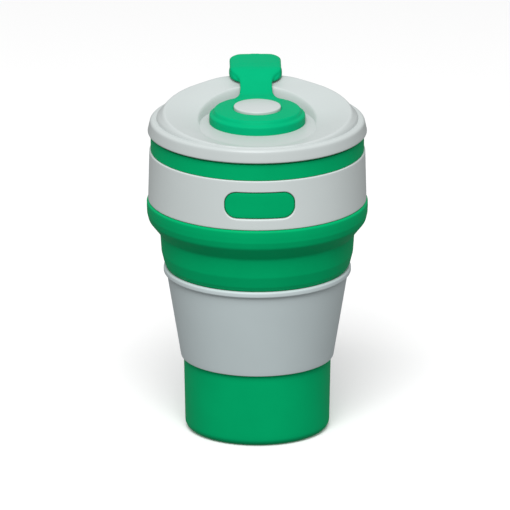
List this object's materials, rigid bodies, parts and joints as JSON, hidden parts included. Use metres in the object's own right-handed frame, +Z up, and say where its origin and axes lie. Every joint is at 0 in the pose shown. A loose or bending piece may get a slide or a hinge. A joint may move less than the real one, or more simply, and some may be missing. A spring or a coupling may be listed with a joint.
{
  "type": "collapsible travel cup",
  "caption": "Folding silicone cup with a hard grip sleeve, a rim band, a press-on lid and a swing-up stopper over the drinking hole.",
  "frame": {"origin": "centre of the base, on the surface the cup stands on", "axes": "+Z up along the cup's axis; +Y towards the drinking hole and its tab; -Y towards the window in the rim band"},
  "size_m": [0.0954, 0.0954, 0.1538],
  "materials": {
    "silicone": "matte moulded silicone, green",
    "stopper_silicone": "matte moulded silicone, green",
    "sleeve_plastic": "fine-grained polypropylene, pale grey",
    "band_plastic": "fine-grained polypropylene, pale grey",
    "lid_plastic": "satin polypropylene, off-white"
  },
  "bodies": {
    "base": {"base_cup": "silicone", "lower_fold": "silicone"},
    "middle": {"fold_ring": "silicone", "grip_sleeve": "sleeve_plastic", "upper_fold": "silicone"},
    "top": {"upper_tier": "silicone", "rim_band": "band_plastic"},
    "lid": {"lid": "lid_plastic", "lid_seal": "stopper_silicone", "stopper_disc": "stopper_silicone", "pivot_button": "lid_plastic", "button_retainer": "lid_plastic"},
    "tab": {"stopper_tab": "stopper_silicone"}
  },
  "joints": [
    {"name": "lower_collapse", "type": "slide", "parent": "base", "child": "middle", "axis": [0, 0, -1], "range_m": [0, 0.0315], "deforming": ["lower_fold"]},
    {"name": "upper_collapse", "type": "slide", "parent": "middle", "child": "top", "axis": [0, 0, -1], "range_m": [0, 0.042], "deforming": ["upper_fold"]},
    {"name": "lid_lift", "type": "slide", "parent": "top", "child": "lid", "axis": [0, 0, 1], "range_m": [0, 0.03]},
    {"name": "tab_lift", "type": "hinge", "parent": "lid", "child": "tab", "pos_m": [0, 0.0192, 0.144], "axis": [1, 0, 0], "range_deg": [0, 100]}
  ]
}
